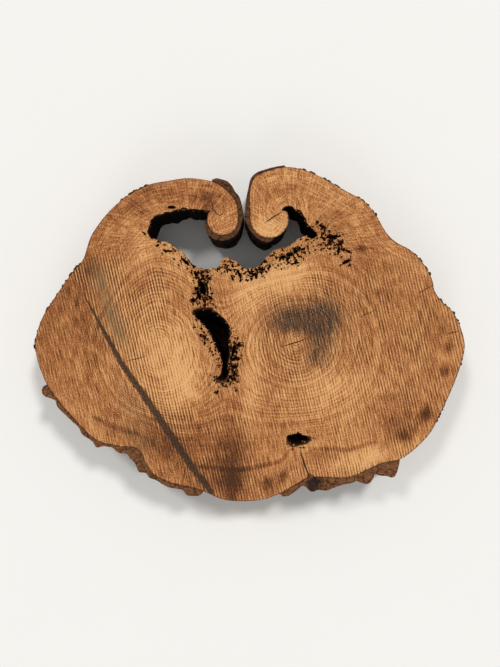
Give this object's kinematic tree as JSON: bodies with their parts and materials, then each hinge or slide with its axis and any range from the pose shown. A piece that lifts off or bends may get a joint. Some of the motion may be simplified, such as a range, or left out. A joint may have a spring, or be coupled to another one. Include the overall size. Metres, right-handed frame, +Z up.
{
  "type": "wood_slice",
  "caption": "Thick cross-cut slice of an old walnut trunk with two curled wound edges, a rotted hollow through it and patches of bark",
  "frame": {"origin": "under the middle of the slice, on the surface that its back face lies on", "axes": "X along its greatest width, Y towards the notch between the curls, Z up through its thickness"},
  "size_m": [1.118, 0.8784, 0.127],
  "materials": {
    "walnut": "rough sawn",
    "bark": "rough bark"
  },
  "bodies": {
    "root": {"wood": "walnut", "bark_left_curl": "bark", "bark_lower_left": "bark", "bark_bottom": "bark", "bark_right_curl": "bark"}
  },
  "joints": []
}
